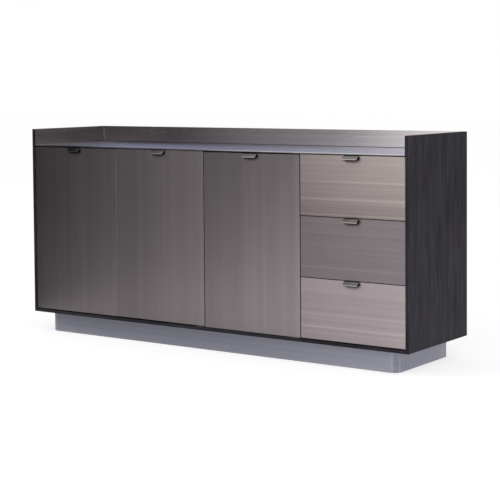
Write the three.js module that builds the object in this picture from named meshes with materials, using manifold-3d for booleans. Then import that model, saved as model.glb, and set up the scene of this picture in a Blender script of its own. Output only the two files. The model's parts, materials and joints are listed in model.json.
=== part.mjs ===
// Office credenza: a black oak carcass with brushed metal fronts, three doors, three drawers,
// a raised gallery round a metal deck and a set-back metal plinth.
// Millimetres, +X to the right, +Y to the back and +Z up.
// The origin is on the floor under the middle of the whole piece, pulls included.
import * as THREE from "three";
import { mergeVertices } from "three/addons/utils/BufferGeometryUtils.js";
import Module from "manifold-3d";

const wasm = await Module();
wasm.setup();

// Overall size, without the pulls
const WIDTH = 1800;
const DEPTH = 455;
const HEIGHT = 854;

// Clearances
const FIT = 0.2; // between pieces that are fixed together
const RUN = 0.4; // between pieces that move past each other
const OVERCUT = 1; // how far a cutting shape passes the face that it cuts through

// Carcass boards
const PANEL = 12;
const SHELF = 18;
const SHELF_GROOVE = 3; // how deep a shelf end sits in the board beside it
const SHELF_FRONT_SETBACK = 24; // behind the front edges of the partitions
const SHELF_LEVEL = 340; // top of the bottom panel to underside of the shelf

// Deck and gallery
const GALLERY = 67; // how far the carcass edges stand above the deck
const DECK_SHEET = 3;
const DECK_LIP = 5;
const DECK_RECESS = 2; // behind the front edges of the side panels
const LINER = 3;

// Plinth
const PLINTH_HEIGHT = 82;
const PLINTH_SIDE_SETBACK = 64;
const PLINTH_FRONT_SETBACK = 36;
const PLINTH_REAR_SETBACK = 46;
const PLINTH_CORNER = 30; // outer radius of the two front corners
const PLINTH_SHEET = 2.5;
const PLINTH_LIFT = 1; // the skirt hangs clear of the floor, which the rails stand on
const PLINTH_RAIL = 18;

// Door and drawer fronts
const SKIN = 2;
const CORE = 18;
const FRONT_RECESS = 4; // behind the front edges of the side panels
const SIDE_GAP = 2.5; // between a front and the side panel
const MEETING_GAP = 2; // between the two doors of the pair
const BAY_GAP = 4; // between fronts that meet before a partition
const TOP_GAP = 3.5;
const BOTTOM_GAP = 4.5;
const DRAWER_GAP = 3;
const INNER_SETBACK = 22; // partitions and top panel behind the backs of the fronts

// Pulls: a flange let into the top edge of the front, and a tab that slopes out and down
const PULL_WIDTH = 62;
const PULL_PLATE = 2.5;
const PULL_REACH = 18;
const PULL_DROP = 16;
const PULL_SEAT = 16;

// Door pivots
const PIVOT_INSET = 26; // from the hinge-side edge of the door
const PIVOT_BACK = 8; // behind the face of the door
const PIN_DIAMETER = 6;
const PIN_ENTRY = 12; // how far a pin stands in the door
const PIN_END_GAP = 1; // between the end of a pin and the bottom of its bore
const PIN_SIDES = 24;
const UPPER_LEAF = 2.5;
const UPPER_LEAF_WIDTH = 30;
const LOWER_LEAF = 1.5;
const LOWER_LEAF_LENGTH = 40;
const LOWER_LEAF_WIDTH = 22;
const COLLAR_DIAMETER = 12;

// Door catches, under the top panel
const CATCH_LENGTH = 40;
const CATCH_DEPTH = 44;
const CATCH_HEIGHT = 14;
const CATCH_INSET = 20; // from the free edge of the door

// Drawer boxes and their runners
const BOX_WALL = 12;
const BOX_BOTTOM = 8;
const BOX_BOTTOM_RAISE = 8; // the bottom board sits this far up in the walls
const BOX_ABOVE_FRONT = 20; // lower edges of the box above the lower edge of the front
const BOX_BELOW_FRONT = 44; // upper edges of the box below the upper edge of the front
const BOX_REAR_GAP = 26;
const RUNNER_SPACE = 12.5; // between the box and the board that the runner is fixed to
const RUNNER_HEIGHT = 45;
const RUNNER_METAL = 1.5;
const RUNNER_FRONT_SETBACK = 4; // behind the front edges of the partitions
const SLIDE_GRIP = 7; // how far the slide's flanges reach into the runner
const SLIDE_REAR_GAP = 6; // the slide ends before the back of the box

// Places worked out from the sizes
const HALF = WIDTH / 2;
const INNER_HALF = HALF - PANEL;
const FRONT_Y = -(DEPTH + FRONT_RECESS - PULL_REACH) / 2;
const BACK_Y = FRONT_Y + DEPTH;
const BACK_PANEL_Y = BACK_Y - PANEL;
const FACE_Y = FRONT_Y + FRONT_RECESS;
const FRONT_THICK = SKIN + FIT + CORE;
const INNER_Y = FACE_Y + FRONT_THICK + INNER_SETBACK;
const FLOOR_Z = PLINTH_HEIGHT + PANEL;
const DECK_Z = HEIGHT - GALLERY;
const DECK_UNDER_Z = DECK_Z - DECK_SHEET;
const TOP_PANEL_Z = DECK_UNDER_Z - FIT - PANEL;
const FRONT_LOW_Z = FLOOR_Z + BOTTOM_GAP;
const FRONT_HIGH_Z = DECK_Z - DECK_LIP - TOP_GAP;
const SHELF_Z = FLOOR_Z + SHELF_LEVEL;

// Four equal bays: a pair of doors, a single door and a stack of drawers
const BAY = INNER_HALF / 2;
const BAY_LINES = [-INNER_HALF, -BAY, 0, BAY, INNER_HALF];
const BAY_GAPS = [SIDE_GAP, MEETING_GAP / 2, BAY_GAP / 2, BAY_GAP / 2, SIDE_GAP];
const LEFT_PARTITION_X = BAY_LINES[2];
const RIGHT_PARTITION_X = BAY_LINES[3];
const DRAWER_BAY = BAY_LINES.length - 2;

// The doors from left to right. Hang is how far a door sits above its level place.
const DOORS = [
  { name: "left_door", bay: 0, hinge: "left", hang: 0 },
  { name: "middle_door", bay: 1, hinge: "right", hang: 1 },
  { name: "right_door", bay: 2, hinge: "right", hang: -2 },
];

// The drawers from the floor up
const DRAWERS = ["lower_drawer", "middle_drawer", "upper_drawer"];

// Finishes as colour, roughness and metalness
const BLACK_OAK = [0x242226, 0.62, 0];
const BLACK_BOARD = [0x1b1a1c, 0.7, 0];
const BRONZE_METAL = [0x8a817e, 0.38, 1];
const GUNMETAL = [0x85828a, 0.35, 1];
const PLINTH_METAL = [0x8b8f98, 0.42, 1];
const PULL_METAL = [0x8f8b8b, 0.35, 1];
const FITTING_STEEL = [0x5c5d60, 0.4, 1];
const RUNNER_ZINC = [0x9a9ca0, 0.4, 1];
const BIRCH_PLY = [0xc9a878, 0.6, 0];
const CATCH_PLASTIC = [0x1d1d1f, 0.5, 0];

// A named piece with a material of its own, in the group that carries it
function piece(group, name, finish, geometry) {
  const [color, roughness, metalness] = finish;
  const flatShading = true;
  const material = new THREE.MeshStandardMaterial({ color, roughness, metalness, flatShading });
  const mesh = new THREE.Mesh(geometry, material);
  mesh.name = name;
  group.add(mesh);
  return mesh;
}

// A group with its own origin, in the group that carries it
function subgroup(group, x, y, z) {
  const inner = new THREE.Group();
  inner.position.set(x, y, z);
  group.add(inner);
  return inner;
}

// A closed geometry with a single vertex at each corner, made so before it is turned or moved
function welded(geometry) {
  geometry.deleteAttribute("normal");
  geometry.deleteAttribute("uv");
  return mergeVertices(geometry);
}

// A block between two corners
function block(low, high) {
  const size = high.map((value, axis) => value - low[axis]);
  const middle = high.map((value, axis) => (value + low[axis]) / 2);
  return welded(new THREE.BoxGeometry(...size)).translate(...middle);
}

// A round bar standing on +Z between two heights
function bar(diameter, x, y, low, high) {
  const height = high - low;
  const geometry = new THREE.CylinderGeometry(diameter / 2, diameter / 2, height, PIN_SIDES);
  return welded(geometry).rotateX(Math.PI / 2).translate(x, y, low + height / 2);
}

// A straight length along X of a section given as [y, z] points
function lengthAlongX(section, low, high) {
  const shape = new THREE.Shape(section.map(([y, z]) => new THREE.Vector2(y, z)));
  const geometry = new THREE.ExtrudeGeometry(shape, { depth: high - low, bevelEnabled: false });
  return welded(geometry).rotateY(Math.PI / 2).rotateX(Math.PI / 2).translate(low, 0, 0);
}

// A straight length along Y of a section given as [x, z] points
function lengthAlongY(section, low, high) {
  const shape = new THREE.Shape(section.map(([x, z]) => new THREE.Vector2(x, z)));
  const geometry = new THREE.ExtrudeGeometry(shape, { depth: high - low, bevelEnabled: false });
  return welded(geometry).rotateX(Math.PI / 2).translate(0, high, 0);
}

// A closed geometry as a solid that can be joined and cut
function solidOf(geometry) {
  const vertProperties = geometry.getAttribute("position").array;
  const triVerts = Uint32Array.from(geometry.index.array);
  return new wasm.Manifold(new wasm.Mesh({ numProp: 3, vertProperties, triVerts }));
}

// A joined or cut solid as geometry again
function geometryOf(solid) {
  const { vertProperties, triVerts } = solid.getMesh();
  const geometry = new THREE.BufferGeometry();
  geometry.setAttribute("position", new THREE.Float32BufferAttribute(vertProperties, 3));
  geometry.setIndex(new THREE.Uint32BufferAttribute(triVerts, 1));
  return geometry;
}

// Geometry with the cutting shapes taken out of it
function cut(geometry, cutters) {
  let solid = solidOf(geometry);
  for (const cutter of cutters) {
    solid = solid.subtract(solidOf(cutter));
  }
  return geometryOf(solid);
}

// Overlapping shapes as one body
function join(shapes) {
  let solid = solidOf(shapes[0]);
  for (const shape of shapes.slice(1)) {
    solid = solid.add(solidOf(shape));
  }
  return geometryOf(solid);
}

// A shelf between two boards, and the groove that takes one of its ends
function shelfBetween(leftFace, rightFace) {
  const reach = SHELF_GROOVE - FIT;
  const low = [leftFace - reach, INNER_Y + SHELF_FRONT_SETBACK, SHELF_Z];
  const high = [rightFace + reach, BACK_PANEL_Y - FIT, SHELF_Z + SHELF];
  return block(low, high);
}

function shelfGroove(lowX, highX) {
  const low = [lowX, INNER_Y + SHELF_FRONT_SETBACK - FIT, SHELF_Z - FIT];
  const high = [highX, BACK_PANEL_Y + OVERCUT, SHELF_Z + SHELF + FIT];
  return block(low, high);
}

// Side panels run the whole height, and the other boards stand between them
function addCarcass(group) {
  const sideLow = [-HALF, FRONT_Y, PLINTH_HEIGHT];
  const leftSide = block(sideLow, [-INNER_HALF, BACK_Y, HEIGHT]);
  const leftGroove = shelfGroove(-INNER_HALF - SHELF_GROOVE, -INNER_HALF + OVERCUT);
  piece(group, "left_side_panel", BLACK_OAK, cut(leftSide, [leftGroove]));
  const rightSide = block([INNER_HALF, FRONT_Y, PLINTH_HEIGHT], [HALF, BACK_Y, HEIGHT]);
  piece(group, "right_side_panel", BLACK_OAK, rightSide);

  const span = INNER_HALF - FIT;
  const insideBack = BACK_PANEL_Y - FIT;
  piece(group, "bottom_panel", BLACK_OAK,
    block([-span, FRONT_Y, PLINTH_HEIGHT], [span, insideBack, FLOOR_Z]));
  piece(group, "top_panel", BLACK_BOARD,
    block([-span, INNER_Y, TOP_PANEL_Z], [span, insideBack, TOP_PANEL_Z + PANEL]));
  piece(group, "back_panel", BLACK_OAK,
    block([-span, BACK_PANEL_Y, PLINTH_HEIGHT], [span, BACK_Y, HEIGHT]));

  const leftFace = LEFT_PARTITION_X - PANEL / 2;
  const rightFace = LEFT_PARTITION_X + PANEL / 2;
  const farFace = RIGHT_PARTITION_X - PANEL / 2;
  const partitionLow = FLOOR_Z + FIT;
  const partitionHigh = TOP_PANEL_Z - FIT;
  const leftPartition = block([leftFace, INNER_Y, partitionLow], [rightFace, insideBack, partitionHigh]);
  piece(group, "left_partition", BLACK_BOARD, cut(leftPartition, [
    shelfGroove(leftFace - OVERCUT, leftFace + SHELF_GROOVE),
    shelfGroove(rightFace - SHELF_GROOVE, rightFace + OVERCUT),
  ]));
  const rightPartition = block([farFace, INNER_Y, partitionLow],
    [farFace + PANEL, insideBack, partitionHigh]);
  piece(group, "right_partition", BLACK_BOARD,
    cut(rightPartition, [shelfGroove(farFace - OVERCUT, farFace + SHELF_GROOVE)]));

  piece(group, "wide_shelf", BLACK_BOARD, shelfBetween(-INNER_HALF, leftFace));
  piece(group, "narrow_shelf", BLACK_BOARD, shelfBetween(rightFace, farFace));
}

// The liners stand on the top panel against the raised edges, and the deck sheet lies between them
function addGallery(group) {
  const span = INNER_HALF - FIT;
  const deckFront = FRONT_Y + DECK_RECESS;
  const linerBack = BACK_PANEL_Y - FIT;
  const linerInside = span - LINER;
  piece(group, "left_liner", GUNMETAL,
    block([-span, deckFront, DECK_UNDER_Z], [-linerInside, linerBack, HEIGHT]));
  piece(group, "right_liner", GUNMETAL,
    block([linerInside, deckFront, DECK_UNDER_Z], [span, linerBack, HEIGHT]));
  const deckSpan = linerInside - FIT;
  piece(group, "back_liner", GUNMETAL,
    block([-deckSpan, linerBack - LINER, DECK_UNDER_Z], [deckSpan, linerBack, HEIGHT]));

  const deckBack = linerBack - LINER - FIT;
  const deckSection = [
    [deckFront, DECK_Z - DECK_LIP],
    [deckFront + DECK_SHEET, DECK_Z - DECK_LIP],
    [deckFront + DECK_SHEET, DECK_UNDER_Z],
    [deckBack, DECK_UNDER_Z],
    [deckBack, DECK_Z],
    [deckFront, DECK_Z],
  ];
  piece(group, "deck_sheet", GUNMETAL, lengthAlongX(deckSection, -deckSpan, deckSpan));
}

// A skirt of bent sheet round the front and sides, on four timber rails
function addPlinth(group) {
  const outside = HALF - PLINTH_SIDE_SETBACK;
  const inside = outside - PLINTH_SHEET;
  const front = FRONT_Y + PLINTH_FRONT_SETBACK;
  const rear = BACK_Y - PLINTH_REAR_SETBACK;
  const cornerX = outside - PLINTH_CORNER;
  const cornerY = front + PLINTH_CORNER;
  const innerRadius = PLINTH_CORNER - PLINTH_SHEET;
  const quarter = Math.PI / 2;
  const outline = new THREE.Shape();
  outline.moveTo(-outside, rear);
  outline.absarc(-cornerX, cornerY, PLINTH_CORNER, 2 * quarter, 3 * quarter, false);
  outline.absarc(cornerX, cornerY, PLINTH_CORNER, 3 * quarter, 4 * quarter, false);
  outline.lineTo(outside, rear);
  outline.lineTo(inside, rear);
  outline.absarc(cornerX, cornerY, innerRadius, 4 * quarter, 3 * quarter, true);
  outline.absarc(-cornerX, cornerY, innerRadius, 3 * quarter, 2 * quarter, true);
  outline.lineTo(-inside, rear);
  const top = PLINTH_HEIGHT - FIT;
  const depth = top - PLINTH_LIFT;
  const skirt = new THREE.ExtrudeGeometry(outline, { depth, bevelEnabled: false });
  piece(group, "plinth_skirt", PLINTH_METAL, welded(skirt).translate(0, 0, PLINTH_LIFT));

  const railFront = front + PLINTH_SHEET + FIT;
  piece(group, "plinth_front_rail", BLACK_BOARD,
    block([-cornerX, railFront, 0], [cornerX, railFront + PLINTH_RAIL, top]));
  const rearSpan = inside - FIT;
  piece(group, "plinth_rear_rail", BLACK_BOARD,
    block([-rearSpan, rear - PLINTH_RAIL, 0], [rearSpan, rear, top]));
  const railLow = rearSpan - PLINTH_RAIL;
  const railBack = rear - PLINTH_RAIL - FIT;
  piece(group, "plinth_left_rail", BLACK_BOARD,
    block([-rearSpan, cornerY, 0], [-railLow, railBack, top]));
  piece(group, "plinth_right_rail", BLACK_BOARD,
    block([railLow, cornerY, 0], [rearSpan, railBack, top]));
}

// The section of a pull, from its flange to the tip of its tab, as [y, z] points
// with the top edge of the front's face at the origin
function pullSection() {
  const slope = Math.atan2(PULL_DROP, PULL_REACH);
  const innerBend = -FIT;
  const outerBend = innerBend - PULL_PLATE * Math.tan(slope / 2);
  const tipDrop = (PULL_REACH + outerBend) * Math.tan(slope);
  const tipInY = -PULL_REACH + PULL_PLATE * Math.sin(slope);
  const tipInZ = -tipDrop - PULL_PLATE * Math.cos(slope);
  return [
    [PULL_SEAT, 0],
    [outerBend, 0],
    [-PULL_REACH, -tipDrop],
    [tipInY, tipInZ],
    [innerBend, -PULL_PLATE],
    [PULL_SEAT, -PULL_PLATE],
  ];
}

// A front with its lower left corner at the group's origin and its face in the plane y = 0:
// a metal skin on a board core, with a pull let into the top edge
function addFront(group, name, width, height, bores) {
  const pullLow = (width - PULL_WIDTH) / 2;
  const pullHigh = pullLow + PULL_WIDTH;
  const notch = block(
    [pullLow - FIT, -OVERCUT, height - PULL_PLATE - FIT],
    [pullHigh + FIT, PULL_SEAT + FIT, height + OVERCUT],
  );
  const coreY = SKIN + FIT;
  const core = block([0, coreY, 0], [width, coreY + CORE, height]);
  piece(group, `${name}_core`, BLACK_BOARD, cut(core, [notch, ...bores]));
  const skin = block([0, 0, 0], [width, SKIN, height]);
  piece(group, `${name}_skin`, BRONZE_METAL, cut(skin, [notch]));
  const pull = lengthAlongX(pullSection(), pullLow, pullHigh);
  piece(group, `${name}_pull`, PULL_METAL, pull).position.z = height;
}

// A leaf under the deck's front, screwed to the edge of the top panel, with its pin hanging down
function addUpperPivot(group, name, x, doorTop) {
  const pinY = FACE_Y + PIVOT_BACK;
  const leafFront = FRONT_Y + DECK_RECESS + DECK_SHEET + FIT;
  const leafBack = INNER_Y - FIT;
  const leafTop = DECK_UNDER_Z - FIT;
  const section = [
    [leafFront, leafTop - UPPER_LEAF],
    [leafBack - UPPER_LEAF, leafTop - UPPER_LEAF],
    [leafBack - UPPER_LEAF, TOP_PANEL_Z],
    [leafBack, TOP_PANEL_Z],
    [leafBack, leafTop],
    [leafFront, leafTop],
  ];
  const leaf = lengthAlongX(section, x - UPPER_LEAF_WIDTH / 2, x + UPPER_LEAF_WIDTH / 2);
  const pin = bar(PIN_DIAMETER, x, pinY, doorTop - PIN_ENTRY, leafTop - UPPER_LEAF / 2);
  piece(group, name, FITTING_STEEL, join([leaf, pin]));
}

// A leaf on the bottom panel with a collar that carries the door and a pin that guides it
function addLowerPivot(group, name, x, doorBottom) {
  const pinY = FACE_Y + PIVOT_BACK;
  const leafLow = FLOOR_Z + FIT;
  const leafMiddle = leafLow + LOWER_LEAF / 2;
  const leaf = block(
    [x - LOWER_LEAF_LENGTH / 2, pinY - PIVOT_BACK, leafLow],
    [x + LOWER_LEAF_LENGTH / 2, pinY - PIVOT_BACK + LOWER_LEAF_WIDTH, leafLow + LOWER_LEAF],
  );
  const collar = bar(COLLAR_DIAMETER, x, pinY, leafMiddle, doorBottom - RUN);
  const pin = bar(PIN_DIAMETER, x, pinY, leafMiddle, doorBottom + PIN_ENTRY);
  piece(group, name, FITTING_STEEL, join([leaf, collar, pin]));
}

// A magnetic catch under the top panel, which the closed door comes to rest on
function addCatch(group, name, lowX) {
  const catchFront = FACE_Y + FRONT_THICK + RUN;
  const catchTop = TOP_PANEL_Z - FIT;
  piece(group, name, CATCH_PLASTIC, block(
    [lowX, catchFront, catchTop - CATCH_HEIGHT],
    [lowX + CATCH_LENGTH, catchFront + CATCH_DEPTH, catchTop],
  ));
}

// A door with its two pivots and its catch
function addDoor(group, { name, bay, hinge, hang }) {
  const left = BAY_LINES[bay] + BAY_GAPS[bay];
  const right = BAY_LINES[bay + 1] - BAY_GAPS[bay + 1];
  const bottom = FRONT_LOW_Z + hang;
  const top = FRONT_HIGH_Z + hang;
  const width = right - left;
  const height = top - bottom;
  const pivot = hinge === "left" ? PIVOT_INSET : width - PIVOT_INSET;
  const boreDiameter = PIN_DIAMETER + 2 * RUN;
  const boreDepth = PIN_ENTRY + PIN_END_GAP;
  const bores = [
    bar(boreDiameter, pivot, PIVOT_BACK, -OVERCUT, boreDepth),
    bar(boreDiameter, pivot, PIVOT_BACK, height - boreDepth, height + OVERCUT),
  ];
  addFront(subgroup(group, left, FACE_Y, bottom), name, width, height, bores);
  addUpperPivot(group, `${name}_upper_pivot`, left + pivot, top);
  addLowerPivot(group, `${name}_lower_pivot`, left + pivot, bottom);
  const catchLow = hinge === "left" ? right - CATCH_INSET - CATCH_LENGTH : left + CATCH_INSET;
  addCatch(group, `${name}_catch`, catchLow);
}

// An open plywood box with its bottom board let in above the lower edges
function drawerBox(left, right, front, rear, low, high) {
  const boardLow = low + BOX_BOTTOM_RAISE;
  const boardHigh = boardLow + BOX_BOTTOM;
  const insideLow = [left + BOX_WALL, front + BOX_WALL];
  const insideHigh = [right - BOX_WALL, rear - BOX_WALL];
  return cut(block([left, front, low], [right, rear, high]), [
    block([...insideLow, boardHigh], [...insideHigh, high + OVERCUT]),
    block([...insideLow, low - OVERCUT], [...insideHigh, boardLow]),
  ]);
}

// Runner and slide sections as [x, z] points, with x counted from the board towards the box
function runnerSection(middleZ) {
  const half = RUNNER_HEIGHT / 2;
  const width = RUNNER_SPACE - RUNNER_METAL - RUN - FIT;
  return [
    [FIT, middleZ - half],
    [width, middleZ - half],
    [width, middleZ - half + RUNNER_METAL],
    [FIT + RUNNER_METAL, middleZ - half + RUNNER_METAL],
    [FIT + RUNNER_METAL, middleZ + half - RUNNER_METAL],
    [width, middleZ + half - RUNNER_METAL],
    [width, middleZ + half],
    [FIT, middleZ + half],
  ];
}

function slideSection(middleZ) {
  const half = RUNNER_HEIGHT / 2 - RUNNER_METAL - RUN;
  const back = RUNNER_SPACE - FIT;
  const web = back - RUNNER_METAL;
  const tip = web - SLIDE_GRIP;
  return [
    [tip, middleZ - half],
    [back, middleZ - half],
    [back, middleZ + half],
    [tip, middleZ + half],
    [tip, middleZ + half - RUNNER_METAL],
    [web, middleZ + half - RUNNER_METAL],
    [web, middleZ - half + RUNNER_METAL],
    [tip, middleZ - half + RUNNER_METAL],
  ];
}

// The same section on the other side of the drawer, with its points turned round to stay in order
function mirrored(section) {
  return section.map(([x, z]) => [-x, z]).reverse();
}

// One drawer of the stack with its box, slides and runners
function addDrawer(group, name, level) {
  const left = BAY_LINES[DRAWER_BAY] + BAY_GAPS[DRAWER_BAY];
  const right = BAY_LINES[DRAWER_BAY + 1] - BAY_GAPS[DRAWER_BAY + 1];
  const stack = FRONT_HIGH_Z - FRONT_LOW_Z;
  const height = (stack - (DRAWERS.length - 1) * DRAWER_GAP) / DRAWERS.length;
  const bottom = FRONT_LOW_Z + level * (height + DRAWER_GAP);
  addFront(subgroup(group, left, FACE_Y, bottom), name, right - left, height, []);

  const boardLeft = RIGHT_PARTITION_X + PANEL / 2;
  const boardRight = INNER_HALF;
  const boxFront = FACE_Y + FRONT_THICK + FIT;
  const boxRear = BACK_PANEL_Y - BOX_REAR_GAP;
  const boxLow = bottom + BOX_ABOVE_FRONT;
  const boxHigh = bottom + height - BOX_BELOW_FRONT;
  piece(group, `${name}_box`, BIRCH_PLY, drawerBox(
    boardLeft + RUNNER_SPACE, boardRight - RUNNER_SPACE, boxFront, boxRear, boxLow, boxHigh));

  const middleZ = (boxLow + boxHigh) / 2;
  const runnerFront = INNER_Y + RUNNER_FRONT_SETBACK;
  const slideFront = boxFront + RUNNER_FRONT_SETBACK;
  const slideRear = boxRear - SLIDE_REAR_GAP;
  const runner = runnerSection(middleZ);
  const slide = slideSection(middleZ);
  const leftBoard = subgroup(group, boardLeft, 0, 0);
  const rightBoard = subgroup(group, boardRight, 0, 0);
  piece(leftBoard, `${name}_left_runner`, RUNNER_ZINC, lengthAlongY(runner, runnerFront, boxRear));
  piece(rightBoard, `${name}_right_runner`, RUNNER_ZINC,
    lengthAlongY(mirrored(runner), runnerFront, boxRear));
  piece(leftBoard, `${name}_left_slide`, RUNNER_ZINC, lengthAlongY(slide, slideFront, slideRear));
  piece(rightBoard, `${name}_right_slide`, RUNNER_ZINC,
    lengthAlongY(mirrored(slide), slideFront, slideRear));
}

const credenza = new THREE.Group();
addCarcass(credenza);
addGallery(credenza);
addPlinth(credenza);
for (const door of DOORS) {
  addDoor(credenza, door);
}
DRAWERS.forEach((name, level) => addDrawer(credenza, name, level));

export default credenza;
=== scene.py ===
import json
import math

import bmesh
import bpy
from mathutils import Matrix, Vector

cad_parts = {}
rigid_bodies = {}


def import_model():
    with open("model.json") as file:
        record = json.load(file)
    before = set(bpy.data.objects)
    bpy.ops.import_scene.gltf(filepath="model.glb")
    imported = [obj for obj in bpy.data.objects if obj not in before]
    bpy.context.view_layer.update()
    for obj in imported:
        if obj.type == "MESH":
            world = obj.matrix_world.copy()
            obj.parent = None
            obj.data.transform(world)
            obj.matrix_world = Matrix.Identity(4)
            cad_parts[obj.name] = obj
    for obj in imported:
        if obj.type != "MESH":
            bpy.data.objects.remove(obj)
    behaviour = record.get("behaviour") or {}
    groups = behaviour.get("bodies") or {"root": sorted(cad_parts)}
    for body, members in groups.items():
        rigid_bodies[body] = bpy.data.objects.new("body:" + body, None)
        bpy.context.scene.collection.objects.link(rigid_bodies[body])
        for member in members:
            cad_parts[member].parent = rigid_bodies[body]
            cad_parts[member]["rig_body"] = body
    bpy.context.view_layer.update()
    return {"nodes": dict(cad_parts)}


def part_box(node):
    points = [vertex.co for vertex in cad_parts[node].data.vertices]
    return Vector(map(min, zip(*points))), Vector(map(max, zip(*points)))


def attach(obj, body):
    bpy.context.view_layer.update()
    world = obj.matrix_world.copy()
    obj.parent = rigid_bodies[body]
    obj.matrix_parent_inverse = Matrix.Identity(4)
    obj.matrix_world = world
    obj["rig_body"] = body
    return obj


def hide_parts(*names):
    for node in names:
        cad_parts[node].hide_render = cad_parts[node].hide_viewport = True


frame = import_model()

bl_info = {
    "name": "Office Credenza",
    "version": (1, 0, 0),
    "blender": (4, 5, 0),
    "location": "3D View > Sidebar > Credenza",
    "description": "Dresses an office credenza of black oak and brushed metal",
    "category": "Object",
}

MM = 0.001

# Bodies of the frame: the moving fronts and the carcass
DOORS = ("left_door", "middle_door", "right_door")
DRAWERS = ("upper_drawer", "middle_drawer", "lower_drawer")
FRONTS = DOORS + DRAWERS
CARCASS = "carcass"
CLOSING = "left_door"  # the door whose strip shows in the gap of the pair, standing in for the highlight along its edge
MEETING = "middle_door"  # the door that it closes against

# Brushing
BAND = 15 * MM  # the width of the soft bands in brushed metal
DOOR_BAND = 32 * MM  # the same on the doors
BRIGHT_LINES = (0.8, 0.4, 0.4)  # how clearly light lines show on each drawer
LINES_RAISED = 55 * MM  # how far up these lines are set
LEVEL_BRUSHING = 0.25  # the turn of the shader's anisotropy for brushing that isn't upright

# Painted light and shade on the fronts, lighter towards one end and darker towards the other as their
# reflections are: an axis, and the level of the colour at the low and the high end of it
PAINTED_LIGHT_DRIFTS = {
    "left_door": (("Z", 1.02, 0.88),),
    "middle_door": (("X", 0.88, 1.03),),
    "right_door": (("X", 0.86, 1.08), ("Z", 1.1, 0.83)),
    "upper_drawer": (("X", 0.92, 1.06), ("Z", 0.72, 1.02)),
}

# Shade on the fronts under the pulls
SHADE_REACH = 30 * MM  # how close a piece has to stand over a front to shade it
SHADE_CLOSE = 0.66  # how open a place is that has the full shade
SHADE_OPEN = 0.84  # how open a place is that has none
SHADE_LEFT = 0.06  # what is left of the colour in the full shade
SHADE_SAMPLES = 8

# Wood
RED_BROWN = (1.5, 1.05, 1.0)  # the levels of red, green and blue where the black stain took less
PLY_PAIR = 2 * 12 * MM / 9  # a pale and a darker ply of a 12 mm birch board with nine plies
WAVE_PERIOD = 2 * math.pi / 20  # a wave texture with a scale of 1 repeats after this length

# Mesh work
MERGE = 0.01 * MM
FLAT_ANGLE = math.radians(1)
SHARP_ANGLE = math.radians(30)
FACING = 0.9  # the least part of a face's normal along an axis for it to count as facing that way
BEND_FACING = 0.25  # the same for a bend or an eased edge, which turns from one face to the next
EASE_SEGMENTS = 2
BEND_SEGMENTS = 6
CORNER_SEGMENTS = 20
SEAL_ROUND = 0.9  # how much of their half width the edges of the bead and the welds are rounded by
FINE_EASE = 0.25  # how far magnets and strike plates are eased, of the other fittings' ease
LEFT = Vector((-1, 0, 0))
RIGHT = Vector((1, 0, 0))
FORWARD = Vector((0, -1, 0))
BACKWARD = Vector((0, 1, 0))
UP = Vector((0, 0, 1))

# Tab of a pull
PULL_FALL = 14 * MM  # how far it falls
PULL_REACH = 18 * MM  # how far it reaches out meanwhile

# Screw heads
SCREW_SIDES = 16
SCREW_HEIGHT = 0.2  # of the diameter
SCREW_CROWN = 0.8  # radius of the flat crown, of the head's radius
SOCKET_RIM = 0.4  # width of the rim round the socket, of the radius
SOCKET_DRAFT = 0.05  # how far the socket narrows, of the radius
SOCKET_DEPTH = 0.6  # of the height
SMALL_SCREW = 0.7  # diameter in fittings and runners, of the diameter in the back

# Pivots and catches of the doors
LEAF = 1.5 * MM  # thickness of a lower pivot's leaf
LEAF_SCREW_INSET = 6 * MM
TAB = 2.5 * MM  # thickness of an upper pivot's tab
TAB_SCREW_INSET = 7 * MM
TAB_SCREW_DROP = 7.5 * MM
MAGNET_SPACING = 18 * MM
MAGNET_HALF = Vector((6 * MM, 0, 4 * MM))
MAGNET_PROUD = 0.1 * MM
MAGNET_SUNK = 3 * MM
STRIKE_HALF = Vector((19 * MM, 0, 6 * MM))
STRIKE_PROUD = 0.2 * MM
STRIKE_SUNK = 0.8 * MM

# Runners of the drawers
RUNNER_WEB = 1.5 * MM  # thickness of the web that the screws stand on
RUNNER_SCREW_INSET = 35 * MM
SLIDE_SCREW_INSET = 60 * MM

# Where a colour mix node keeps its colours and its result
MIX_A = 6
MIX_B = 7
MIX_RESULT = 2


def linear(hex_colour):
    """An sRGB hex colour as linear red, green and blue"""
    channels = [int(hex_colour[start:start + 2], 16) / 255 for start in (1, 3, 5)]
    return [c / 12.92 if c <= 0.04045 else ((c + 0.055) / 1.055) ** 2.4 for c in channels]


def length_property(name, description, millimetres):
    """A size in metres that a user may change"""
    return bpy.props.FloatProperty(
        name=name, description=description, default=millimetres * MM, min=0, unit="LENGTH", precision=5)


def colour_property(name, description, hex_colour):
    """A colour that a user may change"""
    return bpy.props.FloatVectorProperty(
        name=name, description=description, default=linear(hex_colour), min=0, max=1, subtype="COLOR")


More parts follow.
